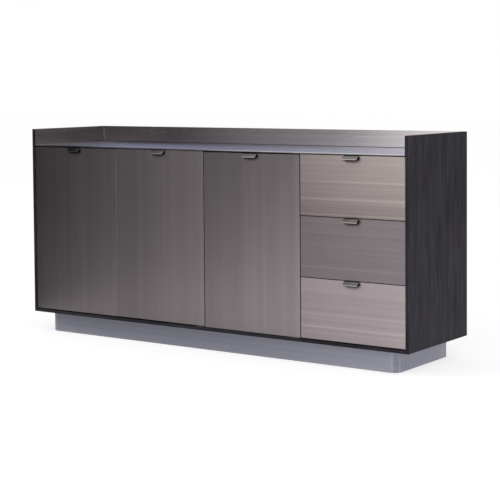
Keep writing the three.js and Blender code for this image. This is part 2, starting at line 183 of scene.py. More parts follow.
class CredenzaSizes(bpy.types.PropertyGroup):
    """Sizes of the details that the frame leaves plain"""
    board_ease: length_property("Board Ease", "How far the edges of the boards are eased", 0.8)
    sheet_ease: length_property("Sheet Ease", "How far the edges of the metal sheets are eased", 0.4)
    front_arris: length_property("Front Arris", "How far the edges of the fronts are eased", 1.5)
    fitting_ease: length_property("Fitting Ease", "How far the edges of the fittings are eased", 0.3)
    # the bead is a dark piece that stands in for the shade at the back liner's foot
    liner_foot_shade_bead: length_property("Deck Seal", "Height and width of the bead at the foot of the back liner", 1.8)
    corner_seam: length_property("Corner Seam", "Width of the ground weld in the corners of the gallery", 3)
    lip_bend: length_property("Lip Bend", "Outer radius of the bend along the front of the deck", 4)
    strip_depth: length_property("Strip Depth", "Depth of the strip in the gap of the door pair", 6)
    strip_room: length_property("Strip Room", "Gap that the strip leaves to the other door", 0.8)
    strip_set_back: length_property("Strip Set-back", "How far the strip lies behind the doors", 0.5)
    plinth_bend: length_property("Plinth Bend", "Outer radius of the front corners of the plinth", 30)
    plinth_sheet: length_property("Plinth Sheet", "Thickness of the sheet round the plinth", 2.5)
    pull_plate: length_property("Pull Plate", "Thickness of the bent plate of a pull", 2.5)
    pull_bend: length_property("Pull Bend", "How far the bend of a pull reaches from its corner", 2.6)
    pull_slope: bpy.props.FloatProperty(
        name="Pull Slope", description="How steeply the tab of a pull slopes down",
        default=math.atan2(PULL_FALL, PULL_REACH), unit="ROTATION")
    pull_hem: length_property("Pull Hem", "How far the tip of a pull is folded back under itself", 6)
    screw_head: length_property("Screw Head", "Diameter of the screw heads in the back", 7)
    box_wall: length_property("Box Wall", "Thickness of the walls of a drawer box", 12)
    box_bottom: length_property("Box Bottom", "Thickness of the bottom of a drawer box", 8)
    box_raise: length_property("Box Raise", "How far up in the walls the bottom of a drawer box sits", 8)


class CredenzaColours(bpy.types.PropertyGroup):
    """Colours of the finishes"""
    door_metal: colour_property("Door Metal", "Brushed metal of the doors", "#968e90")
    # painted light and shade: the drawers are one metal, given a lighter copy on the upper and the lower
    # drawer and a darker one on the middle drawer for how each is lit
    upper_metal: colour_property("Upper Drawer Metal", "Brushed metal of the upper drawer", "#b1a5a3")
    middle_shaded_metal: colour_property("Middle Drawer Metal", "Brushed metal of the middle drawer", "#8d8587")
    lower_metal: colour_property("Lower Drawer Metal", "Brushed metal of the lower drawer", "#b3a7aa")
    # painted light and shade: the gallery is one metal, given a light copy along the back and a dark copy at
    # the ends for how each is lit
    liner_metal: colour_property("Liner Metal", "Brushed metal along the back of the gallery", "#f6eff0")
    liner_end_shade_metal: colour_property("Side Liner Metal", "Brushed metal at the gallery's ends", "#9b9791")
    deck_metal: colour_property("Deck Metal", "Brushed metal of the deck", "#bcbdcb")
    # painted highlight: a near-white copy of the metal along the deck's bend
    lip_highlight_colour: colour_property("Lip Metal", "Bright metal along the bend of the deck, a painted highlight", "#f4f2f4")
    plinth_metal: colour_property("Plinth Metal", "Brushed steel of the plinth", "#b8b9c7")
    pull_metal: colour_property("Pull Metal", "Brushed plate of the pulls", "#a09b9c")
    oak: colour_property("Black Oak", "Black-stained oak", "#343239")
    # painted shade: a darker copy of the oak for the boards' front edges, which stands in for the shade on
    # them
    shaded_oak_edge: colour_property("Black Oak Edge", "Front edges of the oak boards", "#2c2b31")
    board: colour_property("Black Board", "Faced board inside the carcass", "#211f22")
    birch: colour_property("Birch", "Plywood of the drawer boxes", "#d3b68a")


def add_node(tree, kind, inputs=None, **settings):
    """One shader node of a kind with its settings, and its inputs set or linked"""
    node = tree.nodes.new(f"ShaderNode{kind}")
    for name, value in settings.items():
        setattr(node, name, value)
    for name, value in (inputs or {}).items():
        if isinstance(value, bpy.types.NodeSocket):
            tree.links.new(value, node.inputs[name])
        else:
            node.inputs[name].default_value = value
    return node


def shaded(colour, level):
    """A colour made lighter or darker, with an alpha of 1"""
    return [min(channel * level, 1) for channel in colour] + [1]


def new_material(name):
    """A new material and its node tree, which is empty"""
    material = bpy.data.materials.new(name)
    material.use_nodes = True
    material.node_tree.nodes.clear()
    return material, material.node_tree


def streaks(tree, along, width, length, contrast=(0.3, 0.7), detail=2, wander=0, raised=0):
    """A pattern from 0 to 1 of streaks with a real width and length, which run along an axis"""
    scale = [1 / width, 1 / width, 1 / width]
    scale["XYZ".index(along)] = 1 / length
    place = add_node(tree, "TexCoord").outputs["Object"]
    spread = add_node(tree, "Mapping", {
        "Vector": place, "Location": [0, 0, -raised * scale[2]], "Scale": scale})
    noise = add_node(tree, "TexNoise", {
        "Vector": spread.outputs["Vector"], "Scale": 1, "Detail": detail, "Distortion": wander})
    low, high = contrast
    return add_node(tree, "MapRange", {
        "Value": noise.outputs["Fac"], "From Min": low, "From Max": high}).outputs["Result"]


def laid_over(tree, under, over, pattern, share=1):
    """A colour laid over another where a pattern shows, and only in part if the share is under 1"""
    cover = add_node(tree, "Math", {0: pattern, 1: share}, operation="MULTIPLY").outputs[0]
    return add_node(tree, "Mix", {
        "Factor": cover, MIX_A: under, MIX_B: over}, data_type="RGBA").outputs[MIX_RESULT]


def levelled(tree, tone, value, start, end, start_level, end_level):
    """A colour times a level, which follows a value from a start to an end"""
    level = add_node(tree, "MapRange", {
        "Value": value, "From Min": start, "From Max": end,
        "To Min": start_level, "To Max": end_level}).outputs["Result"]
    return add_node(tree, "Mix", {
        "Factor": 1, MIX_A: tone, MIX_B: level},
        data_type="RGBA", blend_type="MULTIPLY").outputs[MIX_RESULT]


def place_on(tree, axis):
    """Where a point of the surface is on an axis"""
    place = add_node(tree, "TexCoord").outputs["Object"]
    return add_node(tree, "SeparateXYZ", {"Vector": place}).outputs[axis]


def shadowed(tree, tone, reach):
    """A colour that gets darker where another piece stands over it closer than a reach, because gloss
    alone shows no such shadow"""
    openness = add_node(tree, "AmbientOcclusion", {"Distance": reach}, samples=SHADE_SAMPLES).outputs["AO"]
    return levelled(tree, tone, openness, SHADE_CLOSE, SHADE_OPEN, SHADE_LEFT, 1)


def surface(tree, tone, relief, depth, strength, inputs):
    """Puts a principled shader with a colour, a relief of a real depth and other inputs on the output"""
    bump = add_node(tree, "Bump", {"Height": relief, "Distance": depth, "Strength": strength})
    shader = add_node(tree, "BsdfPrincipled", {
        "Base Color": tone, "Normal": bump.outputs["Normal"], **inputs})
    add_node(tree, "OutputMaterial", {"Surface": shader.outputs["BSDF"]})


def brushed_metal(name, colour, along, anisotropy=0.6, roughness=0.36, band=BAND, lines=0, light_drifts=(),
                  shade=0):
    """Plate brushed one way and lacquered: soft long bands, finer lines and hairlines along the brushing,
    which spread its reflections across them. The hairlines are drawn coarser than the real ones to show.
    A plate may also have clear light lines, a level painted lighter towards one edge and darker towards the
    other as painted light and shade, and painted shade where another piece stands over it."""
    material, tree = new_material(name)
    bands = streaks(tree, along, width=band, length=3200 * MM, detail=3)
    fine = streaks(tree, along, width=6 * MM, length=900 * MM, detail=3)
    hair = streaks(tree, along, width=0.9 * MM, length=70 * MM)
    tone = laid_over(tree, shaded(colour, 0.92), shaded(colour, 1.07), bands)
    tone = laid_over(tree, tone, shaded(colour, 0.84), fine, share=0.35)
    if lines > 0:
        bright = streaks(tree, along, width=11 * MM, length=6000 * MM, contrast=(0.65, 0.77), detail=0,
                         raised=LINES_RAISED)
        tone = laid_over(tree, tone, shaded(colour, 1.4), bright, share=lines)
    # painted light and shade: the colour gets lighter or darker from one edge to the other
    for axis, *painted_drift in light_drifts:
        tone = levelled(tree, tone, place_on(tree, axis), *painted_drift)
    if shade > 0:
        tone = shadowed(tree, tone, shade)
    rough = add_node(tree, "MapRange", {
        "Value": hair, "To Min": roughness - 0.05, "To Max": roughness + 0.06}).outputs["Result"]
    surface(tree, tone, relief=hair, depth=0.05 * MM, strength=0.35, inputs={
        "Metallic": 1, "Roughness": rough, "Anisotropic": anisotropy,
        "Anisotropic Rotation": 0 if along == "Z" else LEVEL_BRUSHING})
    return material


def black_oak(name, colour, along):
    """Open-grain oak veneer, stained black and oiled: figure along the board, long dark pores that can be
    felt, and hints of red-brown where the stain took less"""
    material, tree = new_material(name)
    figure = streaks(tree, along, width=30 * MM, length=260 * MM, detail=6, wander=0.6)
    grain = streaks(tree, along, width=6 * MM, length=90 * MM, detail=4)
    pores = streaks(tree, along, width=1.4 * MM, length=26 * MM, contrast=(0.56, 0.68), detail=1)
    patches = streaks(tree, along, width=60 * MM, length=260 * MM, contrast=(0.48, 0.72))
    red_brown = [channel * share for channel, share in zip(colour, RED_BROWN)] + [1]
    tone = laid_over(tree, shaded(colour, 0.55), shaded(colour, 1.6), figure)
    tone = laid_over(tree, tone, red_brown, patches, share=0.55)
    tone = laid_over(tree, tone, shaded(colour, 0.6), grain, share=0.5)
    tone = laid_over(tree, tone, shaded(colour, 0.35), pores, share=0.7)
    rough = add_node(tree, "MapRange", {"Value": grain, "To Min": 0.52, "To Max": 0.68}).outputs["Result"]
    relief = add_node(tree, "Math", {0: grain, 1: pores}, operation="SUBTRACT").outputs[0]
    surface(tree, tone, relief, depth=0.15 * MM, strength=0.5, inputs={
        "Roughness": rough, "Specular IOR Level": 0.12})
    return material


def faced_board(name, colour):
    """Melamine-faced board, pressed with a fine pearl texture: matt black with a soft broken shine"""
    material, tree = new_material(name)
    pearl = streaks(tree, "Z", width=0.8 * MM, length=0.8 * MM)
    cloud = streaks(tree, "Z", width=90 * MM, length=90 * MM)
    tone = laid_over(tree, shaded(colour, 0.88), shaded(colour, 1.12), cloud)
    rough = add_node(tree, "MapRange", {"Value": pearl, "To Min": 0.42, "To Max": 0.6}).outputs["Result"]
    surface(tree, tone, relief=pearl, depth=0.04 * MM, strength=0.4, inputs={"Roughness": rough, "IOR": 1.5})
    return material


def birch_face(name, colour, along):
    """Rotary-cut birch veneer under clear lacquer: pale, with soft figure and small brown flecks"""
    material, tree = new_material(name)
    figure = streaks(tree, along, width=30 * MM, length=420 * MM, detail=5)
    flecks = streaks(tree, along, width=1.6 * MM, length=14 * MM, contrast=(0.62, 0.7), detail=1)
    tone = laid_over(tree, shaded(colour, 0.86), shaded(colour, 1.1), figure)
    tone = laid_over(tree, tone, shaded(colour, 0.5), flecks, share=0.4)
    surface(tree, tone, relief=figure, depth=0.05 * MM, strength=0.3, inputs={"Roughness": 0.42, "IOR": 1.5})
    return material


def birch_edge(name, colour, across):
    """Cut edge of birch plywood: pale and darker plies in turn across the thickness of the board"""
    material, tree = new_material(name)
    place = add_node(tree, "TexCoord").outputs["Object"]
    plies = add_node(tree, "TexWave", {
        "Vector": place, "Scale": WAVE_PERIOD / PLY_PAIR}, bands_direction=across).outputs["Fac"]
    rays = streaks(tree, "Y" if across == "X" else "X", width=1.2 * MM, length=6 * MM)
    tone = laid_over(tree, shaded(colour, 0.52), shaded(colour, 1), plies)
    tone = laid_over(tree, tone, shaded(colour, 0.66), rays, share=0.25)
    surface(tree, tone, relief=rays, depth=0.05 * MM, strength=0.3, inputs={"Roughness": 0.5, "IOR": 1.5})
    return material


def plain_steel(name, hex_colour, roughness, metallic=1):
    """Steel that isn't brushed, such as plating, a cut edge or a ground weld: cloudy, with faint crystals.
    A ground edge is less metallic, because its scratches scatter light every way."""
    material, tree = new_material(name)
    colour = linear(hex_colour)
    cloud = streaks(tree, "Y", width=14 * MM, length=50 * MM)
    crystals = streaks(tree, "Z", width=1.5 * MM, length=1.5 * MM)
    tone = laid_over(tree, shaded(colour, 0.82), shaded(colour, 1.12), cloud)
    rough = add_node(tree, "MapRange", {
        "Value": crystals, "To Min": roughness - 0.07, "To Max": roughness + 0.08}).outputs["Result"]
    surface(tree, tone, relief=crystals, depth=0.02 * MM, strength=0.3, inputs={
        "Metallic": metallic, "Roughness": rough})
    return material


def zinc_plated_steel():
    """The bright plating of screws and runners, which is made once"""
    name = "Zinc-plated steel"
    return bpy.data.materials.get(name) or plain_steel(name, "#a4a6aa", 0.36)


def moulded_plastic(name, hex_colour):
    """ABS or rubber from a spark-eroded mould: matt black with a fine even grain"""
    material, tree = new_material(name)
    colour = linear(hex_colour)
    grain = streaks(tree, "Z", width=0.6 * MM, length=0.6 * MM)
    tone = laid_over(tree, shaded(colour, 0.85), shaded(colour, 1.15), grain)
    rough = add_node(tree, "MapRange", {"Value": grain, "To Min": 0.45, "To Max": 0.6}).outputs["Result"]
    surface(tree, tone, relief=grain, depth=0.05 * MM, strength=0.5, inputs={"Roughness": rough, "IOR": 1.54})
    return material


def node_shape(node):
    """The mesh of a CAD node with its triangles joined and its flat faces whole"""
    shape = bmesh.new()
    shape.from_mesh(frame["nodes"][node].data)
    bmesh.ops.remove_doubles(shape, verts=shape.verts, dist=MERGE)
    bmesh.ops.dissolve_limit(shape, angle_limit=FLAT_ANGLE, verts=shape.verts, edges=shape.edges)
    return shape


def sharp_edges(shape):
    """The edges where two faces meet at a clear angle"""
    return [edge for edge in shape.edges if edge.calc_face_angle(0) > SHARP_ANGLE]


def edges_at(shape, bends):
    """The edges at some bends, each of which gives the place of an edge's two ends on two axes"""
    return [edge for bend in bends for edge in shape.edges
            if all(abs(getattr(vert.co, axis) - place) < MERGE
                   for vert in edge.verts for axis, place in bend.items())]


def ease(shape, edges, width, segments=EASE_SEGMENTS):
    """Rounds edges over by a width"""
    bmesh.ops.bevel(shape, geom=edges, offset=width, offset_type="OFFSET", affect="EDGES",
                    segments=segments, profile=0.5, material=-1, clamp_overlap=True)


def ease_sheet(shape, width, bends, bend_width):
    """Eases the edges of a sheet by a width, and those at its bends by another"""
    bent = edges_at(shape, bends)
    ease(shape, [edge for edge in sharp_edges(shape) if edge not in bent], width)
    bent = edges_at(shape, bends)
    if not bent:
        raise RuntimeError("a sheet has no edge at its bends")
    ease(shape, bent, bend_width, BEND_SEGMENTS)


def drawn_sheet(points, vector):
    """A sheet drawn from a line of points along a vector"""
    shape = bmesh.new()
    line = [shape.verts.new(point) for point in points]
    edges = [shape.edges.new(pair) for pair in zip(line, line[1:])]
    drawn = bmesh.ops.extrude_edge_only(shape, edges=edges)["geom"]
    far = [item for item in drawn if isinstance(item, bmesh.types.BMVert)]
    bmesh.ops.translate(shape, vec=vector, verts=far)
    return shape


def bent_plate(points, vector, radius, segments, thickness, width):
    """A plate drawn along a vector, with round bends at a line's inner points and eased edges. The line is
    its outer side, and its thickness lies towards the middle."""
    shape = drawn_sheet(points, vector)
    ease(shape, [edge for edge in shape.edges if len(edge.link_faces) == 2], radius, segments)
    middle = sum((vert.co for vert in shape.verts), Vector()) / len(shape.verts)
    bmesh.ops.recalc_face_normals(shape, faces=shape.faces)
    outward = sum(face.normal.dot(face.calc_center_median() - middle) * face.calc_area()
                  for face in shape.faces)
    if outward < 0:
        bmesh.ops.reverse_faces(shape, faces=shape.faces)
    bmesh.ops.solidify(shape, geom=shape.faces[:], thickness=thickness)
    bmesh.ops.recalc_face_normals(shape, faces=shape.faces)
    ease(shape, sharp_edges(shape), width)
    return shape


def new_object(shape, name, materials):
    """Makes the shape an object of the scene"""
    mesh = bpy.data.meshes.new(name)
    shape.to_mesh(mesh)
    shape.free()
    for material in materials:
        mesh.materials.append(material)
    thing = bpy.data.objects.new(name, mesh)
    bpy.context.scene.collection.objects.link(thing)
    return thing


def finished(shape, name, materials, body, replaced=None, smooth=False):
    """Makes the shape a piece that rides on a body and may stand for a CAD node"""
    piece = new_object(shape, name, materials)
    if smooth:
        piece.data.shade_smooth()
        piece.data.set_sharp_from_angle(angle=SHARP_ANGLE)
        piece.modifiers.new("flat_faces_first", "WEIGHTED_NORMAL").keep_sharp = True
    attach(piece, body)
    if replaced:
        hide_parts(replaced)
    return piece


def dress(shape, node, materials, smooth=False):
    """Makes the shape the piece that stands for a CAD node"""
    if not shape.faces:
        raise RuntimeError(f"{node} has no faces")
    body = frame["nodes"][node]["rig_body"]
    return finished(shape, f"{node}_finished", materials, body, node, smooth)


def dress_eased(node, width, materials, smooth=False):
    """Stands a copy with eased edges for a CAD node"""
    shape = node_shape(node)
    ease(shape, sharp_edges(shape), width)
    return dress(shape, node, materials, smooth)


def paint_facing(faces, direction, index, least=FACING):
    """Gives those of a piece's faces that face a direction another of its materials"""
    for face in faces:
        if face.normal.dot(direction) > least:
            face.material_index = index


def add_board(shape, low, high, width):
    """Adds a board between two corners with its edges eased, and returns its faces"""
    before = set(shape.faces)
    made = bmesh.ops.create_cube(shape, size=1)["verts"]
    bmesh.ops.scale(shape, vec=high - low, verts=made)
    bmesh.ops.translate(shape, vec=(low + high) / 2, verts=made)
    edges = list({edge for vert in made for edge in vert.link_edges})
    ease(shape, edges, width)
    return [face for face in shape.faces if face not in before]


def add_screw(shape, centre, facing, diameter):
    """Adds a pan-head screw with a socket, which stands on a surface"""
    radius = diameter / 2
    height = SCREW_HEIGHT * diameter
    turn = UP.rotation_difference(facing).to_matrix().to_4x4()
    place = Matrix.Translation(centre) @ turn @ Matrix.Translation(UP * height / 2)
    head = bmesh.ops.create_cone(
        shape, cap_ends=True, segments=SCREW_SIDES, radius1=radius, radius2=SCREW_CROWN * radius,
        depth=height, matrix=place)["verts"]
    faces = {face for vert in head for face in vert.link_faces}
    crown = max(faces, key=lambda face: face.calc_center_median().dot(facing))
    bmesh.ops.inset_individual(shape, faces=[crown], thickness=SOCKET_RIM * radius)
    bmesh.ops.inset_individual(
        shape, faces=[crown], thickness=SOCKET_DRAFT * radius, depth=-SOCKET_DEPTH * height)


def screws(name, places, facing, diameter, body):
    """Makes one piece of a group of screws"""
    shape = bmesh.new()
    for place in places:
        add_screw(shape, Vector(place), facing, diameter)
    finished(shape, name, [zinc_plated_steel()], body)


class CREDENZA_OT_boards(bpy.types.Operator):
    """Eases the boards of the carcass and gives them black oak or faced board"""
    bl_idname = "credenza.boards"
    bl_label = "Carcass Boards"

    def execute(self, context):
        sizes = context.scene.credenza_sizes
        colours = context.scene.credenza_colours
        upright = black_oak("Black-stained oak upright", colours.oak, "Z")
        level = black_oak("Black-stained oak level", colours.oak, "X")
        # painted shade: darker copies of the oak for the faces that face forward
        edge = black_oak("Black-stained oak edge", colours.shaded_oak_edge, "Z")
        shaded_level_edge = black_oak("Black-stained oak level edge", colours.shaded_oak_edge, "X")
        board = faced_board("Black melamine-faced board", colours.board)
        for node in ("left_side_panel", "right_side_panel"):
            piece = dress_eased(node, sizes.board_ease, [upright, edge])
            paint_facing(piece.data.polygons, FORWARD, 1)
        dress_eased("back_panel", sizes.board_ease, [upright])
        piece = dress_eased("bottom_panel", sizes.board_ease, [level, shaded_level_edge])
        paint_facing(piece.data.polygons, FORWARD, 1)
        for node in ("top_panel", "left_partition", "right_partition", "wide_shelf", "narrow_shelf"):
            dress_eased(node, sizes.board_ease, [board])
        return {"FINISHED"}


class CREDENZA_OT_gallery(bpy.types.Operator):
    """Bends the deck's lip with a painted highlight on its bend, lays a dark bead at the back liner's foot as
    painted shade, welds the gallery's corners and gives both brushed metal
    """
    bl_idname = "credenza.gallery"
    bl_label = "Deck and Gallery"

    def execute(self, context):
        sizes = context.scene.credenza_sizes
        colours = context.scene.credenza_colours
        # painted light and shade: a light copy of the gallery's metal along the back and a dark one at its
        # ends
        long_metal = brushed_metal("Brushed gunmetal back liner", colours.liner_metal, "X",
                                   anisotropy=0, roughness=0.2)
        short_metal = brushed_metal("Brushed gunmetal side liner", colours.liner_end_shade_metal, "Y",
                                    anisotropy=0, roughness=0.2)
        deck_metal = brushed_metal("Brushed gunmetal deck", colours.deck_metal, "X",
                                   anisotropy=0, roughness=0.3)
        # painted highlight: the bend is given a near-white copy of the deck's metal
        bend_highlight = brushed_metal("Painted highlight on the deck's bend", colours.lip_highlight_colour, "X",
                             anisotropy=0, roughness=0.16)
        lip = brushed_metal("Brushed gunmetal lip", colours.door_metal, "X", anisotropy=0, roughness=0.3)
        cut_edge_and_shade = plain_steel("Dark cut edge of plate and painted shade", "#343132", 0.5)
        dress_eased("back_liner", sizes.sheet_ease, [long_metal])
        for node in ("left_liner", "right_liner"):
            piece = dress_eased(node, sizes.sheet_ease, [short_metal, cut_edge_and_shade])
            paint_facing(piece.data.polygons, FORWARD, 1)

        low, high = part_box("deck_sheet")
        shape = node_shape("deck_sheet")
        ease_sheet(shape, sizes.sheet_ease, [{"y": low.y, "z": high.z}], sizes.lip_bend)
        piece = dress(shape, "deck_sheet", [deck_metal, bend_highlight, lip], smooth=True)
        # painted highlight on the bend faces; the lip's front takes the doors' metal
        paint_facing(piece.data.polygons, FORWARD, 1, BEND_FACING)
        paint_facing(piece.data.polygons, FORWARD, 2)
        self.lay_shade_bead(sizes.liner_foot_shade_bead)
        self.corner_seams(sizes.corner_seam)
        return {"FINISHED"}

    def lay_shade_bead(self, size):
        """Lays a dark bead along the foot of the back liner, which stands in for the shade there"""
        rubber = moulded_plastic("Black bead standing in for shade", "#161518")
        low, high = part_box("deck_sheet")
        shape = bmesh.new()
        foot = Vector((low.x, high.y - size, high.z))
        add_board(shape, foot, Vector((high.x, high.y, high.z + size)), SEAL_ROUND * size / 2)
        finished(shape, "liner_foot_shade_bead", [rubber], CARCASS, smooth=True)

    def corner_seams(self, size):
        """Fills the two inner corners of the gallery with a ground weld"""
        ground = plain_steel("Ground weld of the gallery", "#a09a9a", 0.4)
        back_low, back_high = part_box("back_liner")
        deck_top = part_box("deck_sheet")[1].z
        shape = bmesh.new()
        for left in (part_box("left_liner")[1].x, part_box("right_liner")[0].x - size):
            foot = Vector((left, back_low.y - size, deck_top))
            head = Vector((left + size, back_low.y, back_high.z - size))
            add_board(shape, foot, head, SEAL_ROUND * size / 2)
        finished(shape, "gallery_corner_seams", [ground], CARCASS, smooth=True)


class CREDENZA_OT_plinth(bpy.types.Operator):
    """Bends the plinth skirt from one sheet and finishes the rails that it hides"""
    bl_idname = "credenza.plinth"
    bl_label = "Plinth"

    def execute(self, context):
        sizes = context.scene.credenza_sizes
        colours = context.scene.credenza_colours
        steel = brushed_metal("Brushed blue-grey steel", colours.plinth_metal, "X",
                              anisotropy=0.95, roughness=0.5)
        low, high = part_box("plinth_skirt")
        turns = ((low.x, high.y), (low.x, low.y), (high.x, low.y), (high.x, high.y))
        shape = bent_plate([(x, y, low.z) for x, y in turns], UP * (high.z - low.z), sizes.plinth_bend,
                           CORNER_SEGMENTS, sizes.plinth_sheet, sizes.sheet_ease)
        dress(shape, "plinth_skirt", [steel], smooth=True)
        board = bpy.data.materials["Black melamine-faced board"]
        for side in ("front", "rear", "left", "right"):
            dress_eased(f"plinth_{side}_rail", sizes.board_ease, [board])
        return {"FINISHED"}


class CREDENZA_OT_fronts(bpy.types.Operator):
    """Gives the doors upright brushing, the drawers level brushing, their cores black board, bright top and
    right arrises as painted highlight and dark bottom arrises as painted shade, and the door pair the strip
    in its gap, which stands in for the highlight of the left door's edge"""
    bl_idname = "credenza.fronts"
    bl_label = "Doors and Drawer Fronts"

    def execute(self, context):
        sizes = context.scene.credenza_sizes
        metals = self.metals(context.scene.credenza_colours)
        board = bpy.data.materials["Black melamine-faced board"]
        cut_edge_and_shade = bpy.data.materials["Dark cut edge of plate and painted shade"]
        lit_arris = plain_steel("Bright arris of plate, a painted highlight", "#e8e4e2", 0.65, metallic=0.4)
        for name in FRONTS:
            low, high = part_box(f"{name}_skin")
            shape = node_shape(f"{name}_skin")
            top = {"y": low.y, "z": high.z}
            bottom = {"y": low.y, "z": low.z}
            right = {"y": low.y, "x": high.x}
            ease_sheet(shape, sizes.sheet_ease, [top, bottom, right], sizes.front_arris)
            materials = [metals[name], lit_arris, cut_edge_and_shade]
            piece = dress(shape, f"{name}_skin", materials, smooth=True)
            # painted highlight and shade: the top and right arrises get a bright copy of the plate, and the
            # bottom arrises and the faces in the gaps get the dark edge
            for polygon in piece.data.polygons:
                forward = polygon.normal.dot(FORWARD)
                if abs(forward) < BEND_FACING or polygon.normal.z < -BEND_FACING:
                    polygon.material_index = materials.index(cut_edge_and_shade)
                elif 0 < forward < FACING:
                    polygon.material_index = materials.index(lit_arris)
            dress_eased(f"{name}_core", sizes.board_ease, [board])
        self.highlight_strip(sizes)
        return {"FINISHED"}

    def metals(self, colours):
        """The brushed metal of each front by the front's name"""
        titles = {name: f"Brushed bronze-grey {name.replace('_', ' ')}" for name in FRONTS}
        metals = {}
        for name in DOORS:
            metals[name] = brushed_metal(
                titles[name], colours.door_metal, "Z", anisotropy=0.5, roughness=0.44, band=DOOR_BAND,
                light_drifts=self.light_drifts(name), shade=SHADE_REACH)
        # painted light and shade: each drawer has its own copy of the one metal, lighter or darker for how it
        # is lit
        drawer_colours = (colours.upper_metal, colours.middle_shaded_metal, colours.lower_metal)
        for name, colour, lines in zip(DRAWERS, drawer_colours, BRIGHT_LINES):
            metals[name] = brushed_metal(
                titles[name], colour, "X", anisotropy=0.8, roughness=0.4, lines=lines,
                light_drifts=self.light_drifts(name), shade=SHADE_REACH)
        return metals

    def light_drifts(self, name):
        """The places of a front's edges on an axis and the levels of its painted light and shade there, where
        these differ
        """
        low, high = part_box(f"{name}_skin")
        return [(axis, low["XYZ".index(axis)], high["XYZ".index(axis)], low_level, high_level)
                for axis, low_level, high_level in PAINTED_LIGHT_DRIFTS.get(name, ())]

    def highlight_strip(self, sizes):
        """Closes most of the gap of the door pair with a pale strip on the left door's edge, which stands in
        for the highlight along that edge
        """
        metal = plain_steel("Metal of the strip that stands in for a highlight", "#b2aead", 0.65)
        low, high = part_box(f"{CLOSING}_skin")
        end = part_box(f"{MEETING}_skin")[0].x - sizes.strip_room
        front = low.y + sizes.strip_set_back
        shape = bmesh.new()
        add_board(shape, Vector((high.x, front, low.z)), Vector((end, front + sizes.strip_depth, high.z)),
                  sizes.fitting_ease)
        finished(shape, f"{CLOSING}_highlight_strip", [metal], CLOSING)


class CREDENZA_OT_pulls(bpy.types.Operator):
    """Bends a pull for each front and folds its tip back"""
    bl_idname = "credenza.pulls"
    bl_label = "Pulls"

    def execute(self, context):
        sizes = context.scene.credenza_sizes
        colours = context.scene.credenza_colours
        metal = brushed_metal("Brushed steel pull", colours.pull_metal, "X", roughness=0.3)
        # painted shade on the underside and the fold, painted highlight on the tip
        inner = plain_steel("Dark back of a pull, painted shade", "#2c2a2b", 0.45)
        bare = plain_steel("Bright tip of a pull, a painted highlight", "#eeeae8", 0.3)
        slope = sizes.pull_slope
        under_tab = Vector((0, math.sin(slope), -math.cos(slope)))
        off_tip = Vector((0, -math.cos(slope), -math.sin(slope)))
        for name in FRONTS:
            low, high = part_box(f"{name}_pull")
            width = high.x - low.x
            tip_z = low.z + 2 * sizes.pull_plate * math.cos(slope)
            bend_y = low.y + (high.z - tip_z) / math.tan(slope)
            tip = Vector((low.x, low.y, tip_z))
            line = ((low.x, high.y, high.z), (low.x, bend_y, high.z), tip)
            shape = bent_plate(line, RIGHT * width, sizes.pull_bend, BEND_SEGMENTS,
                               sizes.pull_plate, sizes.sheet_ease)
            shape.normal_update()
            # painted shade on the underside of the tab and on the whole fold, painted highlight on the faces
            # at the tip
            paint_facing(shape.faces, under_tab, 1)
            paint_facing(shape.faces, off_tip, 2, BEND_FACING)
            for face in self.hem(shape, sizes, tip, width):
                face.material_index = 1
            dress(shape, f"{name}_pull", [metal, inner, bare], smooth=True)
        return {"FINISHED"}

    def hem(self, shape, sizes, tip, width):
        """Folds the plate back under the tip, which then shows twice its thickness, and returns the fold"""
        plate = sizes.pull_plate
        faces = add_board(shape, Vector((0, 0, -2 * plate)), Vector((width, sizes.pull_hem, -plate)),
                          sizes.fitting_ease)
        verts = list({vert for face in faces for vert in face.verts})
        turn = Matrix.Rotation(sizes.pull_slope, 3, "X")
        bmesh.ops.rotate(shape, cent=Vector(), matrix=turn, verts=verts)
        bmesh.ops.translate(shape, vec=tip, verts=verts)
        return faces


